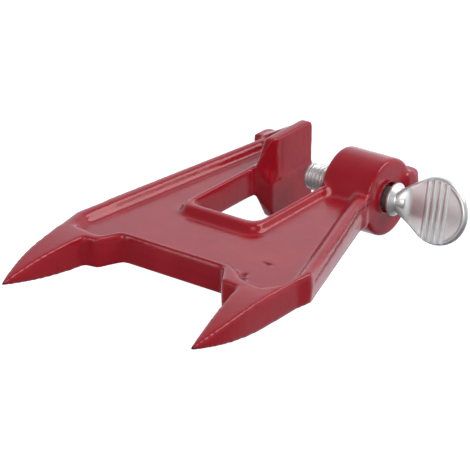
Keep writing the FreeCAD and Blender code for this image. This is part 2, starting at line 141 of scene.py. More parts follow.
def make_room():
    """A room with a bright sweep behind the subject, a paler band at eye level and a dim ceiling.

    Seen directly it is plain white.
    """
    world = bpy.data.worlds.new("studio_room")
    world.use_nodes = True
    tree = world.node_tree
    tree.nodes.clear()
    direction = add(tree, "ShaderNodeTexCoord").outputs["Generated"]
    away = Vector((-TOWARDS_CAMERA.x, -TOWARDS_CAMERA.y, 0)).normalized()
    behind = add(tree, "ShaderNodeVectorMath", {0: direction, 1: away}, operation="DOT_PRODUCT")
    height = add(tree, "ShaderNodeSeparateXYZ", {0: direction}).outputs["Z"]
    sweep = fade(tree, behind.outputs["Value"], (-0.12, 0.7), (0.03, 0.92))
    ceiling = fade(tree, height, (0.4, 0.85), (1.0, 0.3))
    sweep = math_node(tree, "MULTIPLY", sweep, ceiling)
    wall = fade(tree, height, (-0.5, 0.0), (0.1, 0.56))
    wall_top = fade(tree, height, (0.02, 0.32), (1.0, 0.35))
    wall = math_node(tree, "MULTIPLY", wall, wall_top)
    strength = math_node(tree, "ADD", sweep, wall)
    lit = add(tree, "ShaderNodeBackground", {"Color": (0.9, 0.93, 1, 1), "Strength": strength})
    seen = add(tree, "ShaderNodeBackground", {"Color": (1, 1, 1, 1), "Strength": 1.0})
    is_camera = add(tree, "ShaderNodeLightPath").outputs["Is Camera Ray"]
    mix = add(tree, "ShaderNodeMixShader", {0: is_camera, 1: lit.outputs[0], 2: seen.outputs[0]})
    add(tree, "ShaderNodeOutputWorld", {"Surface": mix.outputs[0]})
    return world


scene.world = make_room()


# %% Floor and lamps
def make_floor(height):
    """A wide pale plane, left out of reflections so that the enamel mirrors the room instead."""
    mesh = bpy.data.meshes.new("floor")
    reach = 3.0
    corners = [(x * reach, y * reach, height) for x, y in ((-1, -1), (1, -1), (1, 1), (-1, 1))]
    mesh.from_pydata(corners, [], [(0, 1, 2, 3)])
    floor = bpy.data.objects.new("floor", mesh)
    scene.collection.objects.link(floor)
    pale, _, shader = new_material("pale_floor")
    shader.inputs["Base Color"].default_value = (0.6, 0.6, 0.6, 1)
    shader.inputs["Roughness"].default_value = 0.9
    shader.inputs["Specular IOR Level"].default_value = 0.0
    shader.inputs["Emission Color"].default_value = (1, 1, 1, 1)
    shader.inputs["Emission Strength"].default_value = 0.95
    mesh.materials.append(pale)
    floor.visible_glossy = False
    floor.visible_diffuse = False


def make_softbox(name, place, target, size, power):
    """A square area lamp turned towards a point."""
    data = bpy.data.lights.new(name, "AREA")
    data.size = size
    data.energy = power
    lamp = bpy.data.objects.new(name, data)
    lamp.location = place
    lamp.rotation_euler = (Vector(place) - Vector(target)).to_track_quat("Z", "Y").to_euler()
    scene.collection.objects.link(lamp)


FLOOR_GAP = 0.05 * MM
CASTING_MIDDLE = (0.01, -0.05, 0)
SCREW_HEAD = (0.06, 0, 0)
make_floor(CAD_BOX[0][2] - FLOOR_GAP)
make_softbox("overhead", place=(0.65, 0.5, 0.9), target=CASTING_MIDDLE, size=0.9, power=9.4)
make_softbox("front_fill", place=(0.75, -0.95, 0.5), target=CASTING_MIDDLE, size=0.9, power=6.0)
make_softbox("left_fill", place=(-0.4, -1.1, 0.1), target=SCREW_HEAD, size=0.5, power=1.9)

# %% [markdown]
# ## Finishes
# Both finishes share small effects, built once as node groups. `cast_grain` is the fine waviness that paint
# and plating take from the metal under them. `patches` varies a value slowly over the surface. Each material
# places them with its own sizes.

# %% Shared shader groups
def new_group(name, inputs, outputs):
    """An empty shader group with named sockets. inputs maps a name to (kind, default)."""
    group = bpy.data.node_groups.new(name, "ShaderNodeTree")
    for label, (kind, default) in inputs.items():
        socket = group.interface.new_socket(label, in_out="INPUT", socket_type=kind)
        socket.default_value = default
    for label, kind in outputs.items():
        group.interface.new_socket(label, in_out="OUTPUT", socket_type=kind)
    return group, add(group, "NodeGroupInput").outputs, add(group, "NodeGroupOutput")


def make_cast_grain():
    """Two sizes of waviness, as one height in metres."""
    sockets = {
        "Broad Size": ("NodeSocketFloat", 260.0), "Broad Depth": ("NodeSocketFloat", 0.00006),
        "Fine Size": ("NodeSocketFloat", 1500.0), "Fine Depth": ("NodeSocketFloat", 0.00001),
    }
    group, given, out = new_group("cast_grain", sockets, {"Height": "NodeSocketFloat"})
    place = add(group, "ShaderNodeTexCoord").outputs["Object"]
    broad = add(group, "ShaderNodeTexNoise", {"Vector": place, "Scale": given["Broad Size"], "Detail": 2.0})
    fine = add(group, "ShaderNodeTexNoise", {"Vector": place, "Scale": given["Fine Size"], "Detail": 3.0})
    tall = math_node(group, "MULTIPLY", broad.outputs["Fac"], given["Broad Depth"])
    group.links.new(math_node(group, "MULTIPLY_ADD", fine.outputs["Fac"], given["Fine Depth"], tall),
                    out.inputs["Height"])
    return group


def make_patches():
    """A slow, soft-edged variation between two values."""
    sockets = {
        "Size": ("NodeSocketFloat", 60.0), "Low": ("NodeSocketFloat", 0.0), "High": ("NodeSocketFloat", 1.0),
    }
    group, given, out = new_group("patches", sockets, {"Value": "NodeSocketFloat"})
    place = add(group, "ShaderNodeTexCoord").outputs["Object"]
    noise = add(group, "ShaderNodeTexNoise", {"Vector": place, "Scale": given["Size"], "Detail": 4.0})
    spread = add(group, "ShaderNodeMapRange",
                 {0: noise.outputs["Fac"], 1: 0.3, 2: 0.7, 3: given["Low"], 4: given["High"]})
    group.links.new(spread.outputs[0], out.inputs["Value"])
    return group


CAST_GRAIN = make_cast_grain()
PATCHES = make_patches()


def place_group(tree, group, values):
    """Puts a shader group into a material with its own values."""
    return add(tree, "ShaderNodeGroup", values, node_tree=group).outputs[0]


def wire_surface(tree, shader, colour, rough, grain):
    """Gives the shader a colour, a roughness and a height, which a Bump node turns into relief."""
    bump = add(tree, "ShaderNodeBump", {"Height": grain, "Strength": 1.0, "Distance": 1.0}).outputs[0]
    for label, value in (("Base Color", colour), ("Roughness", rough), ("Normal", bump)):
        tree.links.new(value, shader.inputs[label])


# %% [markdown]
# ### Red enamel
# A dipped or sprayed gloss enamel over a sand casting: a deep red, with the casting's waviness showing
# through the gloss. It is darker on the worn points of the spikes, which is real wear, and it carries painted
# shade in the hollows, the pits, the parting groove and along a run of paint. The mesh carries a vertex
# attribute, from
# 0 to 1, that says where.

# %% Red enamel
def make_red_enamel():
    material, tree, shader = new_material("red_enamel")
    wear_and_painted_shade = add(tree, "ShaderNodeAttribute", attribute_name="wear_and_painted_shade").outputs["Fac"]
    shade = place_group(tree, PATCHES, {"Size": 90.0, "Low": 0.0, "High": 1.0})
    paint = add(tree, "ShaderNodeMix", {0: shade, 6: (0.33, 0.006, 0.015, 1), 7: (0.39, 0.010, 0.021, 1)},
                data_type="RGBA").outputs[2]
    # Mixing towards near black shows real wear on the spike tips and paints shade into the pits, groove,
    # paint run and hollows.
    colour = add(tree, "ShaderNodeMix", {0: wear_and_painted_shade, 6: paint, 7: (0.022, 0.006, 0.006, 1)},
                 data_type="RGBA").outputs[2]
    gloss = place_group(tree, PATCHES, {"Size": 140.0, "Low": 0.13, "High": 0.24})
    rough = add(tree, "ShaderNodeMix", {0: wear_and_painted_shade, 2: gloss, 3: 0.5}, data_type="FLOAT").outputs[0]
    grain = place_group(tree, CAST_GRAIN, {
        "Broad Size": 420.0, "Broad Depth": 0.00005, "Fine Size": 1700.0, "Fine Depth": 0.000012,
    })
    wire_surface(tree, shader, colour, rough, grain)
    shader.inputs["IOR"].default_value = 1.5
    return material


RED_ENAMEL = make_red_enamel()


# %% [markdown]
# ### Zinc plating
# Bright zinc is a metal with a slightly milky gloss. The forged head keeps some of the hammered unevenness
# under the plating, and both the grey and the gloss drift a little over the surface.

# %% Zinc plate
def make_zinc_plate():
    material, tree, shader = new_material("zinc_plate")
    cloud = place_group(tree, PATCHES, {"Size": 180.0, "Low": 0.0, "High": 1.0})
    colour = add(tree, "ShaderNodeMix", {0: cloud, 6: (0.74, 0.74, 0.73, 1), 7: (0.84, 0.84, 0.82, 1)},
                 data_type="RGBA").outputs[2]
    gloss = place_group(tree, PATCHES, {"Size": 300.0, "Low": 0.33, "High": 0.45})
    grain = place_group(tree, CAST_GRAIN, {
        "Broad Size": 300.0, "Broad Depth": 0.00002, "Fine Size": 2400.0, "Fine Depth": 0.000005,
    })
    wire_surface(tree, shader, colour, gloss, grain)
    shader.inputs["Metallic"].default_value = 0.85
    return material


ZINC_PLATE = make_zinc_plate()

# %% [markdown]
# ## The casting
# A casting has no sharp edges: sand moulds round every corner and paint rounds them again. The measured
# solid gives the exact shape, so a copy of it is rebuilt as an even skin of small squares (a voxel remesh),
# and then relaxed: each point moves towards the middle of its neighbours. Where it is relaxed for longer,
# the rounding is larger, as on the rims. The screw's hole is filled first and bored afterwards, like the
# machined hole of the real one, so that it stays round.

# %% Mesh helpers
def coordinates(mesh):
    """A mesh's points as an array in millimetres."""
    flat = np.empty(len(mesh.vertices) * 3)
    mesh.vertices.foreach_get("co", flat)
    return flat.reshape(-1, 3) / MM


def put_back(mesh, points):
    """Writes an array in millimetres into the mesh."""
    mesh.vertices.foreach_set("co", (points * MM).ravel())
    mesh.update()


def point_normals(mesh):
    """The outward direction at every point."""
    flat = np.empty(len(mesh.vertices) * 3)
    mesh.vertex_normals.foreach_get("vector", flat)
    return flat.reshape(-1, 3)


def soft_step(value, low, high):
    """0 below low, 1 above high, and a smooth rise between. low above high turns it round."""
    t = np.clip((value - low) / (high - low), 0, 1)
    return t * t * (3 - 2 * t)


def shade_smooth(mesh):
    """Lets the light run evenly across the faces."""
    mesh.polygons.foreach_set("use_smooth", [True] * len(mesh.polygons))


def link_piece(name, mesh):
    """An object for a mesh, placed at the origin."""
    piece = bpy.data.objects.new(name, mesh)
    scene.collection.objects.link(piece)
    return piece


def settle(piece):
    """Applies all modifiers by making a plain mesh of the finished result."""
    evaluated = piece.evaluated_get(bpy.context.evaluated_depsgraph_get())
    mesh = bpy.data.meshes.new_from_object(evaluated)
    piece.modifiers.clear()
    piece.data = mesh


def triangles(mesh):
    """How many triangles the mesh comes to."""
    return sum(len(p.vertices) - 2 for p in mesh.polygons)


# %% An even skin
def even_skin(node, voxel, plug_radius, plug_from, plug_to):
    """A merged copy of a measured node, its hole plugged, rebuilt as small squares."""
    build = bmesh.new()
    build.from_mesh(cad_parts[node].data)
    bmesh.ops.remove_doubles(build, verts=build.verts, dist=0.001 * MM)
    middle = Matrix.Translation(((plug_from + plug_to) / 2 * MM, 0, 0))
    along_x = Matrix.Rotation(math.pi / 2, 4, "Y")
    bmesh.ops.create_cone(build, cap_ends=True, segments=48, radius1=plug_radius * MM,
                          radius2=plug_radius * MM, depth=(plug_to - plug_from) * MM, matrix=middle @ along_x)
    mesh = bpy.data.meshes.new("casting")
    build.to_mesh(mesh)
    build.free()
    piece = link_piece("casting", mesh)
    remesh = piece.modifiers.new("skin", "REMESH")
    remesh.mode = "VOXEL"
    remesh.voxel_size = voxel * MM
    settle(piece)
    return piece


casting = even_skin("frame_casting", voxel=0.42, plug_radius=6.4, plug_from=20.9, plug_to=40.2)
print("casting skin", len(casting.data.vertices), "points,", triangles(casting.data), "triangles")


# %% [markdown]
# ### How much each place is rounded
# The upper edge of the right rail is rolled over most, and so is the place where that rail runs into the
# boss. The cross-bar's rim comes next, and the jaw, the boss and the spikes keep fairly crisp edges. A weight
# between 0 and 1 says how fast each point relaxes. It is written as plain rules on position, in millimetres.

# %% Rounding weights and relaxing
CRISP = 0.22
FRAME_WEIGHT = 0.3
CROSS_BAR_WEIGHT = 0.55
TIP_HOLD = 0.85  # how much of the relaxing the spikes' tips are spared
RELAX_PASSES = 62


def rounding_weights(p):
    """Weight for each point: 1 relaxes fully on every pass."""
    x, y, z = p.T
    from_axis = np.hypot(y, z)
    frame_part = soft_step(np.abs(z), 6.6, 5.8) * soft_step(y, -97, -90)
    cross_bar = CROSS_BAR_WEIGHT * frame_part * soft_step(y, -64, -70) * soft_step(z, 1.5, 3.0)
    past_rail_line = x - (35.6 - 0.3315 * y)
    right_rail = frame_part * soft_step(past_rail_line, -6.0, -3.0) * soft_step(y, -76, -70)
    right_rail = right_rail * (0.4 + 0.6 * soft_step(z, 0.2, 2.4))
    everywhere = np.full(len(p), CRISP)
    weight = np.maximum.reduce([everywhere, FRAME_WEIGHT * frame_part, cross_bar, right_rail])
    weight = np.minimum(weight, 1 - TIP_HOLD * soft_step(y, -114, -126))
    junction = soft_step(np.abs(z), 9.0, 7.5) * soft_step(y, -17.5, -15.5) * soft_step(y, -9.5, -10.5)
    junction *= soft_step(x, 20.5, 22.5) * soft_step(x, 39.6, 38.4)
    boss = soft_step(from_axis, 9.5, 11.0) * soft_step(x, 19.8, 20.4) * soft_step(from_axis, 15.5, 14.5)
    weight = np.where(boss * soft_step(y, 14.5, 13.5) > 0.5, CRISP, weight)
    return np.maximum(weight, junction)


def edge_ends(mesh):
    """Both ends of every edge, listed both ways round."""
    edges = np.empty(len(mesh.edges) * 2, dtype=np.int64)
    mesh.edges.foreach_get("vertices", edges)
    one, other = edges.reshape(-1, 2).T
    return np.concatenate([one, other]), np.concatenate([other, one])


def neighbour_mean(values, here, there):
    """The mean of each point's neighbours, for a table with a row for each point."""
    count = len(values)
    total = np.stack([np.bincount(here, column[there], count) for column in values.T], axis=1)
    return total / np.bincount(here, minlength=count)[:, None]


def relax(mesh, weight, passes):
    """Moves every point part of the way to the mean of its neighbours, again and again."""
    here, there = edge_ends(mesh)
    points = coordinates(mesh)
    for _ in range(passes):
        points += 0.5 * weight[:, None] * (neighbour_mean(points, here, there) - points)
    put_back(mesh, points)


def hollowness(mesh):
    """How sharply the skin is dished at each point, smoothed a little: near 0 on a flat."""
    here, there = edge_ends(mesh)
    points = coordinates(mesh)
    dish = ((neighbour_mean(points, here, there) - points) * point_normals(mesh)).sum(axis=1)[:, None]
    for _ in range(3):
        dish = (dish + neighbour_mean(dish, here, there)) / 2
    return dish[:, 0]


relax(casting.data, rounding_weights(coordinates(casting.data)), RELAX_PASSES)
print("casting relaxed", RELAX_PASSES, "times")


# %% [markdown]
# ### Mould marks
# The casting was made in two mould halves that meet halfway through its thickness. Its sides lean in by a few
# degrees above and below that plane, so that the pattern leaves the sand. Where the halves met, a fine groove
# is left along the right rail, and a thin raised line on the jaw. Above that line the jaw's face steps back
# and its near corner is rolled over. A few pits complete it. Each of these marks is a rule that moves points,
# so its size can be changed alone. The groove and the pits are also darkened later with painted shade, and
# the run of paint on the jaw is not shaped at all: it is only a dark line of painted shade. All lengths here
# are millimetres.

# %% Mould marks
RAIL_LOW = (60.2, -74)  # where the right rail's straight outer side starts
RAIL_RUN = (17.9, 54)  # and how far it then goes towards -X and +Y
DRAFT = math.tan(math.radians(1.5))
RAIL_DRAFT_ABOVE = math.tan(math.radians(2))
RAIL_DRAFT_BELOW = math.tan(math.radians(4))
GROOVE_DEPTH = 0.4
GROOVE_HALF = 0.36
JAW_LINE = -1.0
JAW_STEP = 0.16
JAW_RIDGE = 0.2
RAMP_DEPTH, RAMP_WIDTH = 4.6, 7.5  # how fast the rolled corner falls away


def rail_inside(p):
    """How far each point is inside the straight outer side of the right rail."""
    x, y, _ = p.T
    across, along = RAIL_RUN
    return ((RAIL_LOW[0] - x) * along - (y - RAIL_LOW[1]) * across) / math.hypot(along, across)


def lean_the_sides(p, n):
    """Draft on the outer sides: points move in as they leave the parting plane."""
    level = np.hypot(n[:, 0], n[:, 1])
    side = soft_step(level, 0.55, 0.9) * soft_step(np.abs(p[:, 2]), 6.2, 5.4) * soft_step(p[:, 1], -17, -21)
    lean = np.full(len(p), DRAFT)
    rail = soft_step(rail_inside(p), 3.2, 2.4) * soft_step(n[:, 0], 0.5, 0.8) * soft_step(p[:, 1], -76, -72)
    lean += rail * np.where(p[:, 2] > 0, RAIL_DRAFT_ABOVE, RAIL_DRAFT_BELOW)
    flat = np.stack([n[:, 0], n[:, 1], np.zeros(len(p))], axis=1)
    return p - flat * (side * lean * np.abs(p[:, 2]))[:, None]


def stretch_the_ends(y):
    """Relaxing draws the spikes' ends in. This gives them back their measured length."""
    measured = CAD_BOX[0][1] / MM + 0.05
    return y + (measured - y.min()) * soft_step(y, -105, y.min())


def parting_groove(p, n):
    """The fine groove along the right rail's outer side, and how deep each point lies in it, from 0 to 1."""
    x, y, z = p.T
    rail = soft_step(rail_inside(p), 2.6, 1.6) * soft_step(n[:, 0], 0.35, 0.65)
    rail *= soft_step(y, -73, -70) * soft_step(y, -11, -14)
    line = 1.2 + 1.8 * (y + 66) / 50 + 0.12 * np.sin(y * 0.9) + 0.06 * np.sin(y * 2.3)
    share = rail * np.exp(-((z - line) / GROOVE_HALF) ** 2)
    return p - n * (GROOVE_DEPTH * share)[:, None], share


def dress_the_jaw(p):
    """The step at the jaw's parting line and the longer ramp above it."""
    x, y, z = p.T.copy()
    near = soft_step(x, -5.6, -5.0) * soft_step(x, 1.5, 0.8) * soft_step(y, -18, -17)
    near = near * soft_step(y, 13.6, 13.2)
    on_face = near * soft_step(x, -1.6, -0.7)
    sharp = x - np.minimum(0.0, (y + 8.8) * RAMP_DEPTH / RAMP_WIDTH)
    rolled = 0.5 * (sharp + np.sqrt(sharp ** 2 + 0.8)) - 0.35
    fall = np.clip(np.where(sharp > -2.5, rolled, 0), 0, None)
    upper = soft_step(z, JAW_LINE - 1.0, JAW_LINE + 7.0)
    above = soft_step(z, JAW_LINE - 0.25, JAW_LINE + 0.25)
    ridge = np.exp(-((z - JAW_LINE) / 0.4) ** 2) * soft_step(y, -8.5, -7)
    p[:, 0] -= near * upper * fall * soft_step(y, -4.5, -7.5)
    p[:, 0] -= on_face * above * JAW_STEP
    p[:, 0] += on_face * JAW_RIDGE * ridge
    return p


def paint_run_shade(p):
    """A dark line of painted shade where a thick run of paint lies on the jaw's upper face, from 0 to 1."""
    x, y, z = p.T
    start_y, start_z = -8.6, 10.6
    run_y, run_z = 3.7, 1.1
    along = np.clip(((y - start_y) * run_y + (z - start_z) * run_z) / (run_y ** 2 + run_z ** 2), 0, 1)
    away = np.hypot(y - start_y - run_y * along, z - start_z - run_z * along) + 0.15 * np.sin(y * 6)
    return soft_step(np.abs(x), 2.2, 1.6) * np.exp(-(away / 0.45) ** 2)


PIT_RADIUS_Z = 2.5
PITS = [  # the middle, the radius along x and along y, and the depth
    ((40.0, -83.2, 5.0), (0.8, 1.5), 2.0),
    ((41.4, -85.4, 5.0), (1.0, 0.8), 1.6),
    ((41.2, -71.7, 2.4), (1.5, 0.6), 0.45),
    ((-7.2, -53.6, 4.2), (0.8, 1.0), 0.9),
    ((27.5, -36.0, -2.4), (0.9, 0.7), 0.4),
    ((-17.5, -70.5, -2.4), (1.1, 0.6), 0.5),
]


def press_pits(p, n):
    """Casting pits, and how deep each point lies in one, from 0 to 1."""
    depth_share = np.zeros(len(p))
    for (x, y, z), (rx, ry), depth in PITS:
        away = ((p[:, 0] - x) / rx) ** 2 + ((p[:, 1] - y) / ry) ** 2 + ((p[:, 2] - z) / PIT_RADIUS_Z) ** 2
        hollow = np.exp(-away)
        p = p - n * (depth * hollow)[:, None]
        depth_share = np.maximum(depth_share, hollow * min(1, depth))
    return p, depth_share


skin = casting.data
points = coordinates(skin)
points[:, 1] = stretch_the_ends(points[:, 1])
points = lean_the_sides(points, point_normals(skin))
points, grooved = parting_groove(points, point_normals(skin))
points = dress_the_jaw(points)
points, pitted = press_pits(points, point_normals(skin))
put_back(skin, points)
print("casting marked", triangles(skin), "triangles")


# %% Worn tips and painted shade
def mark_wear_and_painted_shade(mesh, pitted, grooved):
    """Writes what the enamel reads: worn tips, which are real wear, and painted shade in the pits, the
    groove, along the paint run and in the hollows.
    """
    p = coordinates(mesh)
    ragged = 0.35 * np.sin(p[:, 0] * 5 + p[:, 2] * 7) + 0.3 * np.sin(p[:, 2] * 11 - p[:, 1] * 4)
    tips = soft_step(p[:, 1] + ragged, -128.6, -129.4)
    # Pits, the groove, the paint run and the dished hollows are darkened as painted shade; only the spikes'
    # tips are real wear.
    hollow_shade = 0.2 * soft_step(hollowness(mesh), 0.012, 0.04)
    wear_and_painted_shade = np.maximum.reduce([tips, pitted ** 0.7, 0.75 * grooved, 0.7 * paint_run_shade(p), hollow_shade])
    mesh.attributes.new("wear_and_painted_shade", "FLOAT", "POINT").data.foreach_set("value", wear_and_painted_shade)


mark_wear_and_painted_shade(skin, pitted, grooved)
print("dark places marked on", len(skin.vertices), "points")


# %% [markdown]
# ### The bored hole
# The hole is cut last with a Boolean, by a plain round cutter with a flared end, so its edge is clean. The
# measured hole clears the screw by a few hundredths of a millimetre, and this one is kept a little larger.
# Before the cut the skin is thinned to half its faces, because flat places don't need such small squares.

# %% Boring
def lathe(name, outline, around=64):
    """A closed solid turned about X from (x, radius) pairs in millimetres, both ends on the axis."""
    build = bmesh.new()
    rings = []
    for x, radius in outline:
        if radius == 0:
            rings.append([build.verts.new((x * MM, 0, 0))])
            continue
        ring = []
        for i in range(around):
            turn = 2 * math.pi * i / around
            y, z = radius * math.cos(turn) * MM, radius * math.sin(turn) * MM
            ring.append(build.verts.new((x * MM, y, z)))
        rings.append(ring)
    for near, far in zip(rings, rings[1:]):
        for i in range(around):
            j = (i + 1) % around
            corners = [near[i % len(near)], near[j % len(near)], far[j % len(far)], far[i % len(far)]]
            build.faces.new(list(dict.fromkeys(corners)))
    bmesh.ops.recalc_face_normals(build, faces=build.faces)
    mesh = bpy.data.meshes.new(name)
    build.to_mesh(mesh)
    build.free()
    return mesh


BORE_RADIUS = 5.3
BORE_FROM, FLARE_FROM, FLARE_TO = 18, 40.0, 42.1
FLARE_RADIUS = 7.4
KEPT_FACES = 0.5
cutter = link_piece("cutter", lathe("cutter", [
    (BORE_FROM, 0), (BORE_FROM, BORE_RADIUS), (FLARE_FROM, BORE_RADIUS), (FLARE_TO, FLARE_RADIUS),
    (FLARE_TO, 0),
], around=96))
thin = casting.modifiers.new("thin", "DECIMATE")
thin.ratio = KEPT_FACES
bore = casting.modifiers.new("bore", "BOOLEAN")
bore.operation = "DIFFERENCE"
bore.object = cutter
bore.solver = "EXACT"
settle(casting)
bpy.data.objects.remove(cutter)
shade_smooth(casting.data)
casting.data.materials.clear()
casting.data.materials.append(RED_ENAMEL)
print("casting bored", triangles(casting.data), "triangles")

# %% [markdown]
# ## The screw's thread
# A thread is one shape repeated by a rule: the surface rises and falls with the distance along the axis plus
# the share of a turn. Geometry Nodes make it from a flat grid. One side of the grid becomes the turn, the
# other the length, and each row is shifted along by one pitch over a full turn, so that rows follow the
# helix and the crests stay crisp. The ends are clamped flat and sink to the root.

# %% Starting and ending a geometry tree
def start_tree(name, sizes, counts):
    """A geometry tree with named sizes, counts and a material, and the outputs of its group input."""
    tree = bpy.data.node_groups.new(name, "GeometryNodeTree")
    panel = tree.interface
    panel.new_socket("Geometry", in_out="INPUT", socket_type="NodeSocketGeometry")
    for kind, defaults in (("NodeSocketFloat", sizes), ("NodeSocketInt", counts)):
        for label, default in defaults.items():
            panel.new_socket(label, in_out="INPUT", socket_type=kind).default_value = default
    panel.new_socket("Material", in_out="INPUT", socket_type="NodeSocketMaterial")
    panel.new_socket("Geometry", in_out="OUTPUT", socket_type="NodeSocketGeometry")
    return tree, add(tree, "NodeGroupInput").outputs


def end_tree(tree, geometry, material):
    """Makes instances real and gives everything its material."""
    real = add(tree, "GeometryNodeRealizeInstances", {"Geometry": geometry})
    done = add(tree, "GeometryNodeSetMaterial", {"Geometry": real.outputs[0], "Material": material})
    add(tree, "NodeGroupOutput", {"Geometry": done.outputs[0]})


# %% Geometry tree for a thread
def make_thread_tree():
    """A closed-up grid bent into a screw thread along X. Sizes are in metres."""
    tree, given = start_tree("screw_thread", {
        "Start": 0.009, "End": 0.0385, "Pitch": 0.0015, "Outer Radius": 0.005, "Depth": 0.0009,
        "Run Out": 0.0012,
    }, {"Around": 72, "Rows Per Turn": 8})
    length = math_node(tree, "SUBTRACT", given["End"], given["Start"])
    pitches = math_node(tree, "DIVIDE", length, given["Pitch"])
    turns = math_node(tree, "CEIL", math_node(tree, "ADD", pitches, 1.0))
    rows = math_node(tree, "MULTIPLY_ADD", turns, given["Rows Per Turn"], 1.0)
    columns = math_node(tree, "ADD", given["Around"], 1.0)
    grid = add(tree, "GeometryNodeMeshGrid",
               {"Size X": 1.0, "Size Y": 1.0, "Vertices X": columns, "Vertices Y": rows})
    place = add(tree, "ShaderNodeSeparateXYZ", {0: add(tree, "GeometryNodeInputPosition").outputs[0]})
    share = math_node(tree, "ADD", place.outputs["X"], 0.5)
    along = math_node(tree, "MULTIPLY", math_node(tree, "ADD", place.outputs["Y"], 0.5), turns)
    winding = math_node(tree, "SUBTRACT", along, share)
    raw = math_node(tree, "MULTIPLY_ADD", winding, given["Pitch"], given["Start"])
    low = math_node(tree, "MAXIMUM", raw, given["Start"])
    x = math_node(tree, "MINIMUM", low, given["End"])
    phase = math_node(tree, "FRACT", math_node(tree, "ADD", along, 0.001))
    valley = math_node(tree, "ABSOLUTE", math_node(tree, "MULTIPLY_ADD", phase, 2.0, -1.0))
    crest = math_node(tree, "MULTIPLY_ADD", valley, -1.45, 1.25, clamp=True)
    from_start = math_node(tree, "SUBTRACT", x, given["Start"])
    to_end = math_node(tree, "SUBTRACT", given["End"], x)
    lead_in = math_node(tree, "DIVIDE", from_start, given["Run Out"], clamp=True)
    lead_out = math_node(tree, "DIVIDE", to_end, given["Run Out"], clamp=True)
    crest = math_node(tree, "MULTIPLY", crest, math_node(tree, "MINIMUM", lead_in, lead_out))
    root = math_node(tree, "SUBTRACT", given["Outer Radius"], given["Depth"])
    radius = math_node(tree, "MULTIPLY_ADD", crest, given["Depth"], root)
    angle = math_node(tree, "MULTIPLY", share, 2 * math.pi)
    y = math_node(tree, "MULTIPLY", radius, math_node(tree, "COSINE", angle))
    z = math_node(tree, "MULTIPLY", radius, math_node(tree, "SINE", angle))
    target = add(tree, "ShaderNodeCombineXYZ", {0: x, 1: y, 2: z}).outputs[0]
    moved = add(tree, "GeometryNodeSetPosition", {"Geometry": grid.outputs["Mesh"], "Position": target})
    closed = add(tree, "GeometryNodeMergeByDistance", {"Geometry": moved.outputs[0], "Distance": 0.000004})
    end_tree(tree, closed.outputs[0], given["Material"])
    return tree


def grow(name, tree, inputs):
    """Runs a geometry tree on an empty mesh with the given inputs, and returns the plain result."""
    piece = link_piece(name, bpy.data.meshes.new(name))
    nodes = piece.modifiers.new(name, "NODES")
    nodes.node_group = tree
    for item in tree.interface.items_tree:
        if item.in_out == "INPUT" and item.name in inputs:
            nodes[item.identifier] = inputs[item.name]
    settle(piece)
    return piece


thread = grow("thread", make_thread_tree(), {"Material": ZINC_PLATE})
print("thread", len(thread.data.vertices), "points")

# %% [markdown]
# ## Collar and neck
# Behind the thread the screw is forged: the shank narrows, a round collar stops just short of the boss, and a
# waisted neck leads to the flat head. A turned outline makes them together, drawn with short curved runs so
# that the edges are soft in the light. The screw's plain end, a node of its own, is turned the same way.

# %% Turned pieces
def rounded(outline, steps=5):
    """Rounds the corners of an outline of (x, radius, rounding) with short curves."""
    made = [outline[0][:2]]
    for before, here, after in zip(outline, outline[1:], outline[2:]):
        corner = Vector(here[:2])
        if here[2] == 0:
            made.append(tuple(corner))
            continue
        back = (Vector(before[:2]) - corner).normalized() * here[2]
        ahead = (Vector(after[:2]) - corner).normalized() * here[2]
        for i in range(steps + 1):
            t = i / steps
            made.append(tuple(corner + back * (1 - t) ** 2 + ahead * t ** 2))
    made.append(outline[-1][:2])
    return made


def turned_piece(name, outline, body):
    """A smooth turned piece in zinc, riding on a body."""
    piece = link_piece(name, lathe(name, rounded(outline), around=72))
    shade_smooth(piece.data)
    piece.data.materials.append(ZINC_PLATE)
    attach(piece, body)
    return piece


COLLAR_OUTLINE = [  # x, radius, rounding
    (38.2, 0, 0), (38.2, 3.8, 0), (42.45, 3.8, 0.2),  # the narrowed shank
    (42.45, 5.85, 0.25), (43.3, 5.85, 0.3), (43.75, 5.2, 0.3),  # the collar
    (44.4, 4.5, 0.4), (44.9, 4.0, 0.4), (46.6, 3.5, 0.4), (48.0, 2.9, 0.4), (48.6, 0, 0),  # the neck
]
PLAIN_END_OUTLINE = [(7.75, 0, 0), (7.75, 4.2, 0.3), (8.15, 4.6, 0.3), (8.95, 4.6, 0.2), (8.95, 0, 0)]
turned_piece("collar", COLLAR_OUTLINE, "screw")
point = turned_piece("plain_end", PLAIN_END_OUTLINE, "point")
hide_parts("screw_point")
print("turned the collar and the plain end", triangles(point.data), "triangles in the end")

# %% [markdown]
# ## The thumb head
# The head is a flat blade that fans out from the neck into a disc, with its edge rounded and turned up into a
# faint rim by the forging die. Its thickness is a rule of how far a point is from the edge, so the blade is
# made as a grid: columns across the blade at stations along the screw's axis, closer together near the ends
# and edges, where the shape bends most. Two such grids back to back share their edge.

# %% The blade's rules
HEAD_CENTRE = 59.7
HEAD_RADIUS = 11.8
HEAD_HALF = 1.3
HEAD_TURN = math.radians(78.6)
FAN_START = 44.9
FAN_HALF = 4.1
EDGE_ROUND = 0.9
RIM_HEIGHT = 0.2
RIM_INSIDE = 0.95
RIM_HALF = 0.5
NECK_SWELL = 2.5
SWELL_LENGTH = 5.5
far = math.hypot(HEAD_CENTRE - FAN_START, FAN_HALF)
touch = math.atan2(FAN_HALF, FAN_START - HEAD_CENTRE) - math.acos(HEAD_RADIUS / far)
JOIN = Vector((HEAD_CENTRE + HEAD_RADIUS * math.cos(touch), HEAD_RADIUS * math.sin(touch)))
print("the fan meets the disc at", [round(v, 2) for v in JOIN])


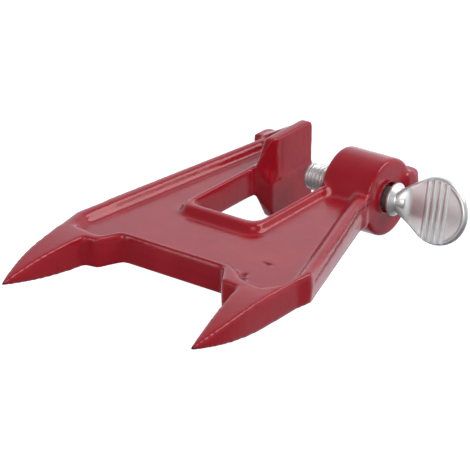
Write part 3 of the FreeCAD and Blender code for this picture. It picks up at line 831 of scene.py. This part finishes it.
def blade_half_width(x):
    """Half the blade's width at a station: a straight fan, then the disc it runs into smoothly."""
    if x > JOIN.x:
        return math.sqrt(max(0.0, HEAD_RADIUS ** 2 - (x - HEAD_CENTRE) ** 2))
    return FAN_HALF + (JOIN.y - FAN_HALF) * (x - FAN_START) / (JOIN.x - FAN_START)


def from_edge(x, y):
    """How far inside the blade's edge a point lies."""
    if x > JOIN.x:
        return HEAD_RADIUS - math.hypot(x - HEAD_CENTRE, y)
    lean = math.atan2(JOIN.y - FAN_HALF, JOIN.x - FAN_START)
    return (blade_half_width(x) - abs(y)) * math.cos(lean)


def blade_height(x, y):
    """Half the blade's thickness at a point: round at the edge, thick at the neck, a low rim on the disc."""
    inside = max(0.0, from_edge(x, y))
    shut = max(0.0, 1 - inside / EDGE_ROUND)
    height = HEAD_HALF * math.sqrt(max(0.0, 1 - shut * shut))
    on_disc = min(1.0, max(0.0, (x - JOIN.x) / 3))
    height += RIM_HEIGHT * on_disc * math.exp(-((inside - RIM_INSIDE) / RIM_HALF) ** 2)
    share = min(1.0, max(0.0, (x - FAN_START) / SWELL_LENGTH))
    swell = 1 - share * share * (3 - 2 * share)
    across = min(1.0, abs(y) / blade_half_width(x)) if x < JOIN.x else 1.0
    return height + swell * NECK_SWELL * math.sqrt(max(0.0, 1 - across * across))


# %% The blade
def make_blade(stations=110, across=40):
    """One closed skin: two faces of a grid that share the edge."""
    build = bmesh.new()
    turn = Matrix.Rotation(HEAD_TURN, 3, "X")
    end = HEAD_CENTRE + HEAD_RADIUS
    columns = []
    for i in range(stations + 1):
        t = i / stations
        x = FAN_START + (end - FAN_START) * math.sin(t * math.pi / 2)
        half = blade_half_width(x)
        if i == stations:
            tip = build.verts.new(turn @ Vector((end, 0, 0)) * MM)
            columns.append(([tip] * (across + 1), [tip] * (across + 1)))
            continue
        faces = []
        for side in (1, -1):
            row = []
            for j in range(across + 1):
                y = -half * math.cos(j / across * math.pi)
                z = side * blade_height(x, y)
                if side == -1 and j in (0, across):
                    row.append(faces[0][j])
                    continue
                row.append(build.verts.new(turn @ Vector((x, y, z)) * MM))
            faces.append(row)
        columns.append(tuple(faces))
    for near, beyond in zip(columns, columns[1:]):
        for one, other in zip(near, beyond):
            for j in range(across):
                corners = list(dict.fromkeys((one[j], one[j + 1], other[j + 1], other[j])))
                if len(corners) > 2:
                    build.faces.new(corners)
    top, bottom = columns[0]
    build.faces.new(top + bottom[-2:0:-1])
    bmesh.ops.recalc_face_normals(build, faces=build.faces)
    mesh = bpy.data.meshes.new("thumb_blade")
    build.to_mesh(mesh)
    build.free()
    return mesh


blade = link_piece("thumb_blade", make_blade())
shade_smooth(blade.data)
blade.data.materials.append(ZINC_PLATE)
print("blade", triangles(blade.data), "triangles")

# %% [markdown]
# ## Grip ridges
# Four bars cross each face of the head, side by side. This is a job for instances: one rounded bar is made
# from a line and a ring, a row of points says where the copies go, and each copy is stretched to the chord of
# the disc at its place. The row is made once, placed on both faces, and turned with the head.

# %% Geometry tree for a row of ridges
def make_ridge_tree():
    """A row of rounded bars on both faces of the disc. Sizes are in metres, and the turn is an angle."""
    sizes = ("First", "Pitch", "Width", "Height", "Face Height", "Disc Radius", "Inset", "Centre", "Turn")
    tree, given = start_tree("grip_ridges", dict.fromkeys(sizes, 0.0), {"Count": 0})
    line = add(tree, "GeometryNodeCurvePrimitiveLine", {"Start": (0, -1, 0), "End": (0, 1, 0)})
    spine = add(tree, "GeometryNodeResampleCurve", {"Curve": line.outputs[0], "Count": 25})
    share = add(tree, "GeometryNodeSplineParameter").outputs["Factor"]
    out = math_node(tree, "ABSOLUTE", math_node(tree, "MULTIPLY_ADD", share, 2.0, -1.0))
    blunt = math_node(tree, "POWER", out, 14.0)
    swell = math_node(tree, "SQRT", math_node(tree, "SUBTRACT", 1.0, blunt, clamp=True))
    shaped = add(tree, "GeometryNodeSetCurveRadius", {"Curve": spine.outputs[0], "Radius": swell})
    ring = add(tree, "GeometryNodeCurvePrimitiveCircle", {"Resolution": 20, "Radius": 1.0})
    bar = add(tree, "GeometryNodeCurveToMesh", {"Curve": shaped.outputs[0], "Profile Curve": ring.outputs[0]})
    whole = add(tree, "GeometryNodeMergeByDistance", {"Geometry": bar.outputs[0], "Distance": 0.01})
    start = add(tree, "ShaderNodeCombineXYZ", {0: given["First"]}).outputs[0]
    step = add(tree, "ShaderNodeCombineXYZ", {0: given["Pitch"]}).outputs[0]
    row = add(tree, "GeometryNodeMeshLine",
              {"Count": given["Count"], "Start Location": start, "Offset": step})
    place = add(tree, "GeometryNodeInputPosition").outputs[0]
    x = add(tree, "ShaderNodeSeparateXYZ", {0: place}).outputs["X"]
    squares = math_node(tree, "SUBTRACT", math_node(tree, "POWER", given["Disc Radius"], 2.0),
                        math_node(tree, "MULTIPLY", x, x))
    chord = math_node(tree, "SUBTRACT", math_node(tree, "SQRT", squares), given["Inset"])
    half_width = math_node(tree, "MULTIPLY", given["Width"], 0.5)
    size = add(tree, "ShaderNodeCombineXYZ", {0: half_width, 1: chord, 2: given["Height"]}).outputs[0]
    copies = add(tree, "GeometryNodeInstanceOnPoints",
                 {"Points": row.outputs[0], "Instance": whole.outputs[0], "Scale": size})
    above = add(tree, "ShaderNodeCombineXYZ", {2: given["Face Height"]}).outputs[0]
    below = add(tree, "ShaderNodeCombineXYZ",
                {2: math_node(tree, "MULTIPLY", given["Face Height"], -1.0)}).outputs[0]
    both = add(tree, "GeometryNodeJoinGeometry")
    for lift in (above, below):
        side = add(tree, "GeometryNodeTransform", {"Geometry": copies.outputs[0], "Translation": lift})
        tree.links.new(side.outputs[0], both.inputs[0])
    swing = add(tree, "ShaderNodeCombineXYZ", {0: given["Turn"]}).outputs[0]
    to_head = add(tree, "ShaderNodeCombineXYZ", {0: given["Centre"]}).outputs[0]
    placed = add(tree, "GeometryNodeTransform",
                 {"Geometry": both.outputs[0], "Translation": to_head, "Rotation": swing})
    end_tree(tree, placed.outputs[0], given["Material"])
    return tree


ridges = grow("grip_ridges", make_ridge_tree(), {
    "First": -3.6 * MM, "Pitch": 2.4 * MM, "Width": 2.1 * MM, "Height": 0.55 * MM,
    "Face Height": HEAD_HALF * MM, "Disc Radius": HEAD_RADIUS * MM, "Inset": 0.95 * MM,
    "Centre": HEAD_CENTRE * MM, "Turn": HEAD_TURN, "Count": 4, "Material": ZINC_PLATE,
})
for piece in (ridges, thread):
    shade_smooth(piece.data)
print("ridges", triangles(ridges.data), "triangles")

# %% [markdown]
# ## What moves with what
# Every piece rides on a body of the measured model. The casting stands still. The plain end only slides. The
# rest of the screw turns, and travels one pitch for each turn.

# %% Ride and replace
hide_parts("frame_casting")
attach(casting, "frame")
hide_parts("thumb_screw")
for piece in (thread, blade, ridges):
    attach(piece, "screw")

# %% Bring the scene up to date
bpy.context.view_layer.update()
